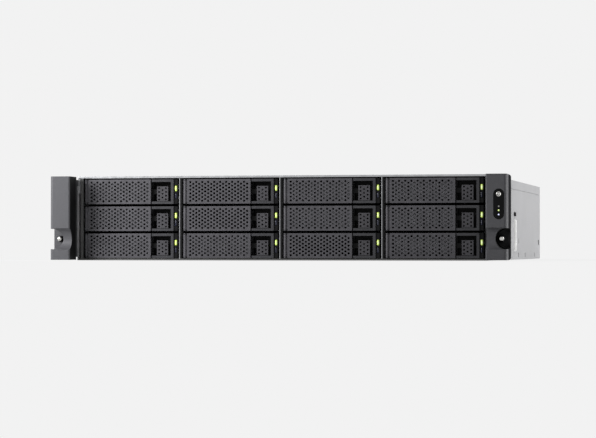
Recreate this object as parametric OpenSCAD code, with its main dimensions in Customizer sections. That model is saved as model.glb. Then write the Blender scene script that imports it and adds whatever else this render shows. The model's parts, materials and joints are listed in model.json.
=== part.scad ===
// Two-unit rack storage server with twelve hot-swap drive trays.
// Origin: middle of the footprint on the underside. The trays face -Y, and +X is the viewer's right.

/* [Case] */
// Width of the steel case between the rack ears
body_w = 436; // [434:1:540]
// Height of the case
body_h = 88; // [87:0.5:110]
// Depth of the case from the tray faces to the rear panel
body_d = 490; // [480:5:640]
// Thickness of the case sheet steel
sheet = 1.2; // [0.8:0.1:1.3]
// Height of the cover's folded side flanges
flange_h = 9.6; // [8:0.2:14]

/* [Rack ears] */
// How far a steel ear flange reaches out from the case side
flange_w = 23.3; // [22.5:0.1:25]
// Height of the ears
ear_h = 87; // [80:0.5:87]
// How far the ear covers stand ahead of the tray faces
ear_proud = 26; // [24:1:36]
// Depth of an ear cover
ear_d = 20; // [17:0.5:22]
// Thickness of the steel ear brackets
bracket_t = 2.5; // [2:0.1:3]
// How far a flange shows beyond its cover
flange_lip = 2; // [0.5:0.1:3]
// Length of a bracket's leg along the case side
leg_d = 46; // [30:1:80]
// How far a captive rack screw stands out from the case side
stud_out = 14.55; // [14:0.05:15]
// Height of the captive rack screws
stud_z = 22.2; // [20:0.1:24]
// Thread diameter of the captive rack screws
stud_d = 5; // [4:0.5:6]
// Radius of the round notch around a rack screw
notch_r = 10.7; // [9:0.1:11.5]

/* [Drive bays] */
// Distance from the case's left side to the first divider
left_set = 3.4; // [2.8:0.1:5]
// Distance from the last drive column to the case's right side
right_set = 3.8; // [3.8:0.1:6]
// Height of the space under the lowest drive row
rows_floor = 1.1; // [1:0.1:2]
// Height of the lip over the top drive row
lip_h = 2.1; // [2:0.1:3]
// Height of the sill under the lowest drive row
sill_h = 1.7; // [1.2:0.1:1.8]
// Gap between tray faces one above the other
row_gap = 2.6; // [2:0.1:3]
// Thickness of a divider between columns
divider_w = 3; // [2.4:0.1:3.4]
// Depth of the drive cage
cage_d = 166; // [164:1:184]
// Gap between a tray and the dividers beside it
tray_gap = 0.4; // [0.3:0.05:0.5]

/* [Trays] */
// Thickness of a lever's panel
panel_t = 2.4; // [1.8:0.1:3]
// Diameter of a lever's hinge barrel
barrel_d = 3.7; // [3.2:0.1:4.2]
// Diameter of a lever's hinge pin
pin_d = 1.6; // [1.2:0.1:2]
// Depth of a tray's bezel
bezel_d = 12; // [11:0.5:13]
// Width of the frame around the release tongue
pocket_w = 23.5; // [21:0.5:25]
// Width of the strip that holds the status lights
strip_w = 4.2; // [4:0.1:5]
// Width of the release tongue
tongue_w = 12; // [10:0.5:13]
// Height of the release tongue
tongue_h = 15.5; // [12:0.5:18]
// Travel of the release tongue
tongue_travel = 2; // [1:0.1:2.5]
// Width, length and height of a drive
drive = [101.6, 147, 26.1];

/* [Perforation] */
// Distance between holes in one row of a panel
hole_pitch_x = 6.4; // [5:0.1:8]
// Distance between holes in one column of a panel
hole_pitch_z = 3.9; // [3:0.1:5]
// Width of a hole
hole_w = 2.7; // [1.5:0.1:3]
// Height of a hole
hole_h = 2.1; // [1.2:0.1:2.6]

/* [Cooling] */
// Outer size of a fan frame
fan_size = 80; // [60:1:82]
// Depth of a fan
fan_d = 38; // [25:1:40]
// Distance between fans
fan_pitch = 140; // [90:1:142]
// Distance from the backplane to the fans
fan_gap = 32.4; // [10:0.2:50]

/* [Power modules] */
// Width, depth and height of a power module
module_size = [73.5, 185, 40.3];
// How far the module handles reach behind the rear panel
tail_d = 18; // [12:0.5:24]

/* [Circuit boards] */
// Width of the mainboard
board_w = 330; // [326:1:344]
// Distance from the fans to the mainboard
board_gap = 20; // [4:0.5:60]
// Height of the mainboard above the case floor
standoff_h = 6; // [4:0.5:10]
// Thickness of the circuit boards
board_t = 1.6; // [1:0.1:2.4]

/* [Clearances] */
// Gap of parts that slide on each other
slide_gap = 0.3; // [0.2:0.05:0.5]
// Gap of parts that are fitted together
fit_gap = 0.1; // [0.05:0.01:0.2]
// Radial gap of pins that turn in bores
pin_gap = 0.06; // [0.02:0.01:0.1]

/* [Hidden] */
$fn = 48;
columns = 4;
rows = 3;
// Overlap that joins the solids of one piece
bite = 0.4;

front_y = -(ear_proud + body_d + tail_d) / 2;
face_y = front_y + ear_proud;
rear_y = face_y + body_d;
half_w = body_w / 2;
wall_x = half_w - sheet;
roof_z = body_h - sheet;

column_pitch = (body_w - left_set - right_set) / columns;
row_pitch = (body_h - rows_floor - lip_h) / rows;
bay_w = column_pitch - divider_w;
face_h = row_pitch - row_gap;
half_f = face_h / 2;

// Walls of a tray's bezel
lug_t = 1.5;
lug_d = barrel_d;
plate_t = 1.5;
rim_top = 2.7;
rim_low = 2.5;
rim_side = 2.9;

// Places across one bay, from its left divider
hinge_x = tray_gap + 1 + barrel_d / 2;
hinge_y = barrel_d / 2 + 0.05;
panel_x0 = hinge_x + barrel_d / 2 + 0.5;
strip_x1 = bay_w - 1.7;
pocket_x1 = strip_x1 - strip_w;
pocket_x0 = pocket_x1 - pocket_w;
panel_x1 = pocket_x0 - 1.2;
tongue_x0 = pocket_x0 + 5.3;

// Status lights, from the light strip's left edge and the tray's top
lens_w = 2.5;
lens_h = 6;
lens_x = pocket_x1 + 1.1;
lens_tops = [6.6, 14.5];

// Rails and drive of a tray
rail_t = (bay_w - 2 * tray_gap - drive[0]) / 2 - fit_gap;
rail_h = face_h - 0.2;
rail_d = drive[1] + 2;
drive_y = bezel_d + plate_t + 0.5;

// Rack ears
ear_in = half_w;
flange_x = half_w + flange_w;
ear_out = flange_x - flange_lip;
stud_x = half_w + stud_out;
ear_z = (body_h - ear_h) / 2;
flange_y = front_y + ear_d;
rail_y = flange_y + bracket_t;
notch_x = stud_x + 5.25;
window_x = half_w + 13.3;
window_z = ear_z + 0.65 * ear_h;
window_w = 11;
window_h = 31;
button_d = 5.6;
button_z = window_z + window_h / 2 - window_w / 2;
button_h = 5;
edge_r = 3;
scoop_r = notch_r + 1.5;
well_d = 10;
screw_head = [7, 9];
thread_h = 8.7;

// Power modules and boards
module_x = -half_w + 5.7;
module_low = [sheet + slide_gap, body_h / 2 + sheet / 2 + slide_gap];
module_y = rear_y - module_size[1];
bay_wall_x = module_x + module_size[0] + fit_gap * 4;
board_x = bay_wall_x + 8;
board_z = sheet + standoff_h;
board_top = board_z + board_t;
fan_y = face_y + cage_d + board_t + fan_gap;
board_y = fan_y + fan_d + board_gap;
board_d = rear_y - 6 - board_y;
fan_z = body_h / 2;
socket_x = board_x + 150;
socket_y = board_y + 90;
socket_w = 44;
socket_h = 4;

// Heatsink: width, depth and height, and its fins
sink = [78, 90, 40];
sink_base = 5;
fins = 16;
fin_t = 1;

// Memory modules and their slots
memory_x = board_x + 205;
memory_count = 4;
memory_pitch = 12;
memory_slot_w = 6;
memory_slot_h = 6;
memory_groove = 1.8;
memory_t = 1.2;
chip_t = 3;

function divider_x(c) = -half_w + left_set + (c - 1) * column_pitch;
function bay_x(c) = divider_x(c) + divider_w;
function row_z(r) = rows_floor + (rows - r + 0.5) * row_pitch;

// A box between two corners
module box(low, high) translate(low) cube(high - low);

// Draws children on the right, and their mirror image on the left
module both_sides() {
    children();
    mirror([1, 0, 0]) children();
}

// Moves one tray's pieces to their bay
module in_bay(r, c) translate([bay_x(c), face_y, row_z(r)]) children();

// A six-sided hole, wider than it is high
module hex_hole(w, h) polygon([
    [-w / 2, 0], [-w / 4, h / 2], [w / 4, h / 2],
    [w / 2, 0], [w / 4, -h / 2], [-w / 4, -h / 2]]);

// Staggered holes that fill a width and height around the origin
module hole_field(width, height, pitch_x, pitch_z, w, h) {
    count_x = floor(width / pitch_x * 2) + 1;
    count_z = floor(height / pitch_z) + 1;
    for (i = [0:count_x - 1]) {
        here = count_z - i % 2;
        for (j = [0:here - 1])
            translate([(i - (count_x - 1) / 2) * pitch_x / 2, (j - (here - 1) / 2) * pitch_z]) hex_hole(w, h);
    }
}

// Turns a flat outline into a plate that faces -Y, with its front at y = 0
module upright(thickness) rotate([90, 0, 0]) translate([0, 0, -thickness]) linear_extrude(thickness) children();

// One drive tray: the bezel with its pocket frame, light strip and hinge lugs, the rails, and the drive

module pocket_frame() difference() {
    box([pocket_x0, 0, -half_f], [pocket_x1, bezel_d + bite, half_f]);
    box([pocket_x0 + 0.8, -1, rim_low - half_f], [pocket_x1 - rim_side, bezel_d - plate_t, half_f - rim_top]);
    box([pocket_x0 - 1, -1, rim_low - half_f], [pocket_x0 + 1.2, 7, half_f - rim_top]);
}

module lens_place() for (top = lens_tops) translate([lens_x, 0, half_f - top - lens_h]) children();

module light_strip() difference() {
    box([pocket_x1 - bite, 0.8, -half_f], [strip_x1, bezel_d + bite, half_f]);
    lens_place() box([0, 0, 0], [lens_w, 4, lens_h]);
}

module hinge_lugs() {
    for (s = [0, 1]) mirror([0, 0, s]) {
        translate([hinge_x, hinge_y, half_f - lug_t]) cylinder(d = lug_d, h = lug_t);
        box([hinge_x - lug_d / 2, hinge_y, half_f - lug_t], [hinge_x + lug_d / 2, bezel_d + bite, half_f]);
        box([hinge_x - lug_d / 2, 9, half_f - 1.2], [pocket_x0 + bite, bezel_d + bite, half_f]);
    }
    translate([hinge_x, hinge_y, -half_f + 0.5]) cylinder(d = pin_d, h = face_h - 1);
}

module back_plate() difference() {
    box([tray_gap, bezel_d, -rail_h / 2], [bay_w - tray_gap, bezel_d + plate_t, rail_h / 2]);
    for (x = [panel_x0 + 3:8:panel_x1 - 6])
        box([x, bezel_d - 1, 3.8 - half_f], [x + 6, bezel_d + plate_t + 1, half_f - 3.8]);
}

module rail() difference() {
    box([tray_gap, bezel_d, -rail_h / 2], [tray_gap + rail_t, drive_y + rail_d, rail_h / 2]);
    for (i = [0:2]) translate([0, drive_y + 8 + i * (rail_d - 11) / 3, -7])
        cube([tray_gap + rail_t + 1, 36, 14]);
}

module drive_unit() difference() {
    translate([(bay_w - drive[0]) / 2, drive_y, -drive[2] / 2]) cube(drive);
    translate([(bay_w - 80) / 2, drive_y - 1, drive[2] / 2 - 1.5]) cube([80, 5, 3]);
}

module light_lens() box([fit_gap, 0.5, fit_gap], [lens_w - fit_gap, 4 - fit_gap, lens_h - fit_gap]);

module tray_carrier(r, c) color("dimgray") in_bay(r, c) {
    pocket_frame();
    light_strip();
    hinge_lugs();
    back_plate();
    rail();
    translate([bay_w, 0, 0]) mirror([1, 0, 0]) rail();
    drive_unit();
    lens_place() light_lens();
}

module lever_panel() translate([(panel_x0 + panel_x1) / 2, 0, 0]) upright(panel_t) difference() {
    square([panel_x1 - panel_x0, face_h], center = true);
    hole_field(panel_x1 - panel_x0 - 6.8, face_h - 5.2, hole_pitch_x, hole_pitch_z, hole_w, hole_h);
}

module lever_back() {
    for (s = [0, 1]) mirror([0, 0, s]) box([panel_x0 + 6, panel_t - bite, half_f - 1.2], [panel_x1, 8, half_f]);
    box([panel_x1 - 2.6, panel_t - bite, -3.5], [panel_x1 - 1.6, 6.6, 3.5]);
    box([panel_x1 - 2.6, 5.4, -3.5], [panel_x1 - 0.2, 6.6, 3.5]);
}

module tray_lever(r, c) color("#4c4c50") in_bay(r, c) difference() {
    union() {
        lever_panel();
        lever_back();
        box([hinge_x, 1, lug_t + fit_gap - half_f], [panel_x0 + bite, panel_t, half_f - lug_t - fit_gap]);
        translate([hinge_x, hinge_y, lug_t + fit_gap - half_f])
            cylinder(d = barrel_d, h = face_h - 2 * (lug_t + fit_gap));
    }
    translate([hinge_x, hinge_y, -half_f]) cylinder(r = pin_d / 2 + pin_gap, h = face_h);
}

module tray_latch(r, c) color("#3a3a3d") in_bay(r, c) {
    low = rim_low + slide_gap - half_f;
    translate([tongue_x0 + tongue_w / 2, 1.2, low + tongue_h / 2]) upright(2.2) difference() {
        square([tongue_w, tongue_h], center = true);
        hole_field(tongue_w - 4, tongue_h - 3.4, 7.4, hole_pitch_z, 2.3, 1.8);
    }
    box([panel_x1 - 0.8, 3.2, -2.5], [tongue_x0 + 1.4, 5, 2.5]);
    box([tongue_x0 + 4, 3.2, -3], [tongue_x0 + 8, bezel_d - plate_t - slide_gap, 3]);
}

// The steel case

// Ports on the mainboard's rear edge: place along the board, width and height
ports = [[10, 16, 13.5], [30, 16, 13.5], [50, 16, 13.5], [70, 16, 13.5],
         [94, 14, 15.6], [112, 14, 15.6], [134, 15, 6]];
port_d = 20;
port_wall = 1.2;
// Expansion slots in the rear panel
cover_slot_w = 13;
cover_slots = [for (i = [0:3]) board_x + 180 + i * 22];
// Vent in the rear panel: place along the board, height, and the field's size
vent = [80, 58, 140, 36];
// Slots along the case sides: distance from the tray faces, height of the middle, width and height
side_slots = [[220, 27, 3, 38], [263, 21, 2.5, 6], [263, 5, 4, 5], [328, 5, 4, 5],
              [body_d - 60, 5, 4, 5], [body_d - 16, 20, 9, 6]];
side_hole = [220, 50];
side_hole_d = 6.8;
// Where the cover's screws sit behind the tray faces, and how far in from the side walls
screw_places = [cage_d + 18, cage_d + 164, body_d - 20];
screw_in = 8;
screw_d = 3;
screw_head_d = 5.8;

module case_side() difference() {
    union() {
        box([wall_x, face_y, 0], [half_w, rear_y, body_h - flange_h - slide_gap]);
        box([wall_x - sheet, face_y + 2.5, body_h - flange_h - 8], [wall_x + bite, rear_y - sheet, roof_z]);
    }
    box([wall_x, face_y - 1, body_h - flange_h - slide_gap], [half_w + 1, rear_y + 1, body_h]);
    for (slot = side_slots) box([wall_x - 3, face_y + slot[0] - slot[2] / 2, slot[1] - slot[3] / 2],
                                [half_w + 1, face_y + slot[0] + slot[2] / 2, slot[1] + slot[3] / 2]);
    translate([wall_x - 3, face_y + side_hole[0], side_hole[1]]) rotate([0, 90, 0])
        cylinder(d = side_hole_d, h = 8);
}

module screw_tabs() for (d = screw_places) difference() {
    box([wall_x - screw_in - 6, face_y + d - 8, roof_z - sheet], [wall_x, face_y + d + 8, roof_z]);
    translate([wall_x - screw_in, face_y + d, roof_z - 3]) cylinder(d = screw_d + 2 * fit_gap, h = 6);
}

module panel_sheet() difference() {
    box([bay_wall_x, rear_y - sheet, sheet], [wall_x, rear_y, roof_z]);
    for (port = ports) translate([board_x + port[0] - slide_gap, rear_y - 3, board_top - slide_gap])
        cube([port[1] + 2 * slide_gap, 5, port[2] + 2 * slide_gap]);
    for (x = cover_slots) box([x, rear_y - 3, board_top + 4], [x + cover_slot_w, rear_y + 1, roof_z - 6]);
    translate([board_x + vent[0], rear_y - 3, vent[1]]) upright(5)
        hole_field(vent[2], vent[3], 9, 5.2, 5.2, 4.2);
}

module module_bay() {
    box([bay_wall_x, module_y, 0], [bay_wall_x + sheet, rear_y - sheet, roof_z]);
    box([-wall_x, module_y, (body_h - sheet) / 2], [bay_wall_x + bite, rear_y - sheet, (body_h + sheet) / 2]);
}

module standoffs() for (x = [8, board_w - 8], y = [8, board_d / 2, board_d - 8])
    translate([board_x + x, board_y + y, 0]) cylinder(r = 3, h = board_z);

module chassis_base() color("silver") {
    box([-half_w, face_y + 2.5, 0], [half_w, rear_y, sheet]);
    both_sides() {
        case_side();
        screw_tabs();
    }
    module_bay();
    standoffs();
}

module top_cover() color("#b9b9bb") difference() {
    union() {
        box([-half_w, face_y + 2.5, roof_z], [half_w, rear_y, body_h]);
        both_sides() box([wall_x, face_y + 2.5, body_h - flange_h], [half_w, rear_y, body_h]);
    }
    both_sides() for (d = screw_places)
        translate([wall_x - screw_in, face_y + d, roof_z])
            cylinder(d1 = screw_d + 8 * fit_gap, d2 = screw_head_d + 4 * fit_gap, h = sheet);
}

module cover_screws() color("gainsboro") both_sides() for (d = screw_places)
    translate([wall_x - screw_in, face_y + d, roof_z]) {
        cylinder(d1 = screw_d + 6 * fit_gap, d2 = screw_head_d + 2 * fit_gap, h = sheet);
        translate([0, 0, -sheet - 0.2]) cylinder(d = screw_d, h = sheet + 0.2 + bite);
    }

module slot_covers() for (x = cover_slots) box([x - 2, rear_y - 2 * sheet - fit_gap, board_top + 2],
                                              [x + cover_slot_w + 2, rear_y - sheet - fit_gap, roof_z - 4]);

// The flange and the two strips that frame the power modules
module bay_frame() {
    box([-wall_x, rear_y - sheet, sheet], [module_x - slide_gap, rear_y, roof_z]);
    tops = [(body_h + sheet) / 2, roof_z];
    for (n = [0, 1]) box([module_x, rear_y - sheet, module_low[n] + module_size[2] + slide_gap],
                         [bay_wall_x - fit_gap, rear_y, tops[n]]);
}

module rear_panel() color("gainsboro") {
    panel_sheet();
    bay_frame();
    slot_covers();
}

module cage_wall(x, width) box([x, face_y + 0.6, sheet], [x + width, face_y + cage_d, roof_z]);

module cage_ledges(r, c) {
    top = row_z(r) - rail_h / 2 - slide_gap;
    reach = tray_gap + rail_t - 0.1;
    for (x = [bay_x(c) - bite, bay_x(c) + bay_w - reach])
        box([x, face_y + bezel_d + 3, max(sheet, top - 1.2)], [x + reach + bite, face_y + cage_d - 2, top]);
}

module bay_cage() color("#4a4a4a") {
    for (c = [1:columns]) difference() {
        cage_wall(divider_x(c), divider_w);
        box([divider_x(c) + 0.8, face_y + 3, sheet + 3],
            [divider_x(c) + divider_w - 0.8, face_y + cage_d + 1, roof_z - 3]);
    }
    cage_wall(half_w - right_set, sheet);
    box([-wall_x, face_y, body_h - lip_h], [wall_x, face_y + 2.5, body_h]);
    box([-wall_x, face_y, 0], [wall_x, face_y + 2.5, sill_h]);
    for (r = [1:rows], c = [1:columns]) cage_ledges(r, c);
}

// Inside the case

module backplane() color("#1f5a3a") {
    plate_y = face_y + cage_d;
    difference() {
        box([-half_w + left_set, plate_y, sheet], [half_w - right_set, plate_y + board_t, roof_z - 2]);
        for (c = [1:columns], r = [1:rows], side = [8, bay_w - 40])
            translate([bay_x(c) + side, plate_y - 1, row_z(r) - 8]) cube([32, 4, 11]);
    }
    for (c = [1:columns], r = [1:rows])
        box([bay_x(c) + bay_w / 2 - 4, face_y + drive_y + drive[1] + slide_gap, row_z(r) - 12],
            [bay_x(c) + bay_w / 2 + 30, plate_y + bite, row_z(r) - 8.4]);
}

module fan_bore() translate([0, -1, 0]) rotate([-90, 0, 0]) cylinder(d = fan_size - 4, h = fan_d + 2);

module fan_frame() {
    difference() {
        box([-fan_size / 2, 0, -fan_size / 2], [fan_size / 2, fan_d, fan_size / 2]);
        fan_bore();
    }
    for (turn = [45:90:315]) rotate([0, turn, 0]) box([10, fan_d - 4, -2], [fan_size / 2 - 1, fan_d, 2]);
    translate([0, fan_d - 4, 0]) rotate([-90, 0, 0]) cylinder(r = 14, h = 4);
    translate([0, 6, 0]) rotate([-90, 0, 0]) cylinder(r = 1.5, h = fan_d - 8);
}

module fan_place(n) translate([(n - 2) * fan_pitch, fan_y, fan_z]) children();

module fan_frames() color("#2b2b2b") {
    for (n = [1:3]) fan_place(n) fan_frame();
    difference() {
        box([-wall_x + 3, fan_y + fan_d - 2, sheet], [wall_x - 3, fan_y + fan_d, roof_z]);
        for (n = [1:3]) fan_place(n) fan_bore();
    }
}

module fan_rotor(n) color("black") fan_place(n) difference() {
    union() {
        translate([0, 4, 0]) rotate([-90, 0, 0]) cylinder(r = 14, h = fan_d - 4 - 4 - 1);
        for (i = [0:6]) rotate([0, i * 360 / 7, 0]) translate([12, fan_d / 2 - 2, 0]) rotate([38, 0, 0])
            box([0, -0.8, -12], [fan_size / 2 - 18, 0.8, 12]);
    }
    translate([0, 5, 0]) rotate([-90, 0, 0]) cylinder(r = 1.5 + pin_gap, h = fan_d);
}

module port_block(port) translate([board_x + port[0], rear_y - port_d, board_top + fit_gap]) difference() {
    cube([port[1], port_d + 0.5, port[2]]);
    translate([port_wall, port_d / 2, 1]) cube([port[1] - 2 * port_wall, port_d, port[2] - 2]);
}

module memory_slot() difference() {
    cube([memory_slot_w, 140, memory_slot_h + bite]);
    translate([(memory_slot_w - memory_groove) / 2, 3, 2]) cube([memory_groove, 134, memory_slot_h]);
}

module mainboard() color("#1d4f35") {
    box([board_x, board_y, board_z], [board_x + board_w, board_y + board_d, board_top]);
    for (port = ports) port_block(port);
    translate([socket_x - socket_w / 2, socket_y - socket_w / 2, board_top - bite])
        cube([socket_w, socket_w, socket_h + bite]);
    for (i = [0:memory_count - 1]) translate([memory_x + i * memory_pitch, board_y + 20, board_top - bite])
        memory_slot();
    for (i = [0:5]) translate([board_x + 40 + i * 12, board_y + 14, board_top - bite]) cylinder(d = 8, h = 10);
    for (i = [0:4]) translate([board_x + 40 + i * 14, board_y + 30, board_top - bite]) cube([10, 10, 6]);
}

module heatsink() color("silver") {
    translate([socket_x - sink[0] / 2, socket_y - sink[1] / 2, board_top + socket_h]) {
        cube([sink[0], sink[1], sink_base]);
        for (i = [0:fins - 1]) translate([i * (sink[0] - fin_t) / (fins - 1), 0, sink_base - 1])
            cube([fin_t, sink[1], sink[2] - sink_base + 1]);
    }
}

module memory_modules() color("#20603f") for (i = [0:memory_count - 1])
    translate([memory_x + i * memory_pitch + (memory_slot_w - memory_t) / 2, board_y + 23.5,
               board_top + 2 - bite + slide_gap]) {
        cube([memory_t, 133, 30]);
        for (j = [0:7]) translate([(memory_t - chip_t) / 2, 6 + j * 15.5, 10]) cube([chip_t, 11, 12]);
    }

module inlet_cut() difference() {
    box([module_size[0] - 34, module_size[1] - 14, 9], [module_size[0] - 8, module_size[1] + 1, 28]);
    for (x = [-7, 0, 7]) translate([module_size[0] - 22 + x, module_size[1] - 15, 17]) cube([2, 11, 4]);
}

module module_handle() difference() {
    box([4, module_size[1] - bite, 6], [10, module_size[1] + tail_d, 34]);
    box([3, module_size[1] + 2, 11], [11, module_size[1] + tail_d - 4, 29]);
}

module power_module(n) color("#8f8f92") translate([module_x, module_y, module_low[n - 1]]) {
    difference() {
        cube(module_size);
        inlet_cut();
        translate([24, module_size[1] - 4, module_size[2] / 2]) upright(6) hole_field(16, 26, 6, 3.6, 3.6, 2.8);
        box([module_size[0] - 6.5, module_size[1] - 26, 30], [module_size[0] + 1, module_size[1] + 1, 38]);
    }
    module_handle();
    box([14, -8, 6], [60, bite, 7.6]);
}

module module_latch(n) color("#3f8f5a")
    translate([module_x + module_size[0] - 6.5, module_y + module_size[1], module_low[n - 1] + 30]) {
    box([2.8, -25, slide_gap], [5.6, 8, 8 - slide_gap]);
    box([2.8, 5.5, slide_gap], [8, 8, 8 - slide_gap]);
}

// Rack ears

module rack_brackets() color("#66666a") both_sides() {
    difference() {
        box([ear_in, flange_y, ear_z], [flange_x, rail_y, ear_z + ear_h]);
        translate([stud_x, flange_y - 1, stud_z]) rotate([-90, 0, 0])
            cylinder(d = stud_d + 2 * slide_gap, h = bracket_t + 2);
    }
    box([ear_in, flange_y, ear_z + 3], [ear_in + 2, flange_y + leg_d, ear_z + ear_h - 3]);
}

module ear_outline() translate([ear_in, front_y]) polygon(concat(
    [[0, ear_d], [0, 1.2], [1.2, 0]],
    [for (a = [0:15:90]) [ear_out - ear_in - edge_r * (1 - sin(a)), edge_r * (1 - cos(a))]],
    [[ear_out - ear_in, ear_d]]));

module ear_shell() difference() {
    translate([0, 0, ear_z]) linear_extrude(ear_h) ear_outline();
    translate([ear_in - 1, front_y - 5, stud_z]) rotate([0, 90, 0]) cylinder(r = scoop_r, h = flange_w + 2);
    translate([notch_x, front_y - 1, stud_z]) rotate([-90, 0, 0]) cylinder(r = notch_r, h = ear_d + 2);
    translate([stud_x, front_y - 1, stud_z]) rotate([-90, 0, 0]) cylinder(d = well_d, h = ear_d + 2);
    box([ear_in + 3, front_y + 5, stud_z + 18], [ear_out - 2.4, front_y + ear_d + 1, ear_z + ear_h - 3]);
}

module pill(w, h, depth) hull() for (s = [-1, 1])
    translate([0, 0, s * (h - w) / 2]) rotate([-90, 0, 0]) cylinder(d = w, h = depth, $fn = 32);

module ear_cover_right() color("#48484a") difference() {
    ear_shell();
    translate([window_x, front_y - 1, window_z]) pill(window_w, window_h, 2.6);
    translate([window_x, front_y, button_z]) rotate([-90, 0, 0]) cylinder(d = button_d, h = 8);
}

module ear_cover_left() color("#747476") mirror([1, 0, 0]) ear_shell();

module status_window() color("#0c0c0c") difference() {
    translate([window_x, front_y + 0.3, window_z])
        pill(window_w - 2 * fit_gap, window_h - 2 * fit_gap, 1.3 - fit_gap);
    translate([window_x, front_y - 1, button_z]) rotate([-90, 0, 0]) cylinder(d = button_d, h = 8);
}

module power_button() color("silver") translate([window_x, front_y + 0.1, button_z]) rotate([-90, 0, 0])
    difference() {
        cylinder(d = button_d - 2 * slide_gap, h = button_h);
        translate([0, 0, -1]) cylinder(d = button_d / 2 - slide_gap + 0.1, h = 1.4);
    }

module rack_screw() color("silver") translate([stud_x, flange_y, stud_z]) rotate([-90, 0, 0]) {
    translate([0, 0, -screw_head[1] - fit_gap]) difference() {
        cylinder(d = screw_head[0], h = screw_head[1]);
        box([-0.6, -screw_head[0], -1], [0.6, screw_head[0], 1]);
    }
    // A thinner neck holds the screw captive in the bracket
    translate([0, 0, -1]) cylinder(d = stud_d - 0.8, h = bracket_t + 2);
    translate([0, 0, bracket_t + slide_gap]) cylinder(d = stud_d, h = thread_h);
}

module rack_screw_right() rack_screw();
module rack_screw_left() mirror([1, 0, 0]) rack_screw();

chassis_base();
top_cover();
bay_cage();
backplane();
fan_frames();
for (n = [1:3]) fan_rotor(n);
mainboard();
heatsink();
memory_modules();
rear_panel();
for (n = [1:2]) power_module(n);
for (n = [1:2]) module_latch(n);
rack_brackets();
ear_cover_left();
ear_cover_right();
rack_screw_left();
rack_screw_right();
power_button();
status_window();
cover_screws();
for (r = [1:rows], c = [1:columns]) {
    tray_carrier(r, c);
    tray_lever(r, c);
    tray_latch(r, c);
}
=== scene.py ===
import json
import math
from typing import NamedTuple

import bmesh
import bpy
from bpy.props import FloatProperty, FloatVectorProperty, IntProperty, PointerProperty
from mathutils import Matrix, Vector


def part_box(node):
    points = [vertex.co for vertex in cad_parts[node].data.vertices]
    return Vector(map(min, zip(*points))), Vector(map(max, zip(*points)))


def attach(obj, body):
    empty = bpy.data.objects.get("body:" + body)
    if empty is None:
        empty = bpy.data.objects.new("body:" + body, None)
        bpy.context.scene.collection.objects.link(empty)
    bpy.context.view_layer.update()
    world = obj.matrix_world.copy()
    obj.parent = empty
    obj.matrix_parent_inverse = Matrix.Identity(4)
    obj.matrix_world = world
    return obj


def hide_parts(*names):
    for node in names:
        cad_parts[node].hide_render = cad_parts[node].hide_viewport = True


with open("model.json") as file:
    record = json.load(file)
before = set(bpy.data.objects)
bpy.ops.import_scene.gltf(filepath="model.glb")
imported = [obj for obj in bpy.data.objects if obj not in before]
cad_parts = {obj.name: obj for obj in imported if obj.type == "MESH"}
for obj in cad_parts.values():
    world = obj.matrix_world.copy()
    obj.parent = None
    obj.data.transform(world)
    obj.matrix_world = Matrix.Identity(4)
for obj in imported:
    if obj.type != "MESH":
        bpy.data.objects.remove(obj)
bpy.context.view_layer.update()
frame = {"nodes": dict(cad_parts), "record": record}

bl_info = {
    "name": "Rack storage server",
    "version": (1, 0, 0),
    "blender": (4, 5, 0),
    "location": "3D View > Sidebar > Storage",
    "description": "Finishes and detailed pieces of a two-unit rack storage server with twelve drive trays",
    "category": "Object",
}

MM = 0.001
TINY = 0.001 * MM  # corners that are nearer than this are one corner

ROWS = (1, 2, 3)
COLUMNS = (1, 2, 3, 4)
BAYS = [f"r{row}c{column}" for row in ROWS for column in COLUMNS]
FACE_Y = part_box("tray_carrier_r1c1")[0][1]  # the front of the trays, in metres

# Sizes in millimetres
FOLD_GAP = 2.4  # from a tray's left side to the right end of the bare fold on the divider beside it
FOLD_REACH = 3.0  # the fold's faces are looked for this far from that end, more than the fold's width
RAIL_GRIP_BACK = 220  # from the front of the trays to the middle of the rail's hook and stud
RAIL_GRIP_SINK = 0.7  # how deep they start in the side
RAIL_GRIPS = (  # kind, finish, (reach, depth, height), height of its middle over the ground
    ("hook", "bright_steel", (3.2, 3.0, 36.0), 27.0),
    ("stud", "blackened_steel", (2.9, 4.0, 4.6), 50.5),
)
NETWORK_PORTS = 4
PORT_WALL = 0.6
BOARD_THICKNESS = 1.6
CONTACTS = 8
CONTACT_PITCH = 1.02
SCREW_TO_NOTCH = 5.25  # from a captive screw's axis outwards to the middle of the ear's round notch
THREAD_PITCH = 0.8
INDICATORS = (("grey", 12.35), ("lit", 16.35), ("white", 20.65))  # light pipe, height below the button

LAMPS = (  # name, place and target in metres, width and height in metres, power in watts
    ("key", (-0.64, -0.62, 0.3), (-0.12, -0.26, 0.05), (0.3, 0.3), 7.5),
    ("fill", (1.9, 0.3, 0.6), (0.25, 0.0, 0.04), (1.2, 1.0), 17),
    ("top", (0.0, 0.5, 2.0), (0.0, 0.2, 0.0), (1.2, 1.2), 12),
    ("back", (-0.9, 2.2, 1.2), (0.0, 0.25, 0.04), (1.3, 1.1), 20),
)
PLAINLY_SEEN = ("Is Camera Ray", "Is Glossy Ray", "Is Transmission Ray")


def linear(hex_colour):
    """Linear RGBA of an sRGB hex colour such as #4a4a4d."""
    channels = [int(hex_colour[i:i + 2], 16) / 255 for i in (1, 3, 5)]
    return tuple(c / 12.92 if c <= 0.04045 else ((c + 0.055) / 1.055) ** 2.4 for c in channels) + (1.0,)


def per_mm(size):
    """Noise scale at which one feature is about size millimetres wide."""
    return 1 / (size * MM)


# Materials


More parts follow.
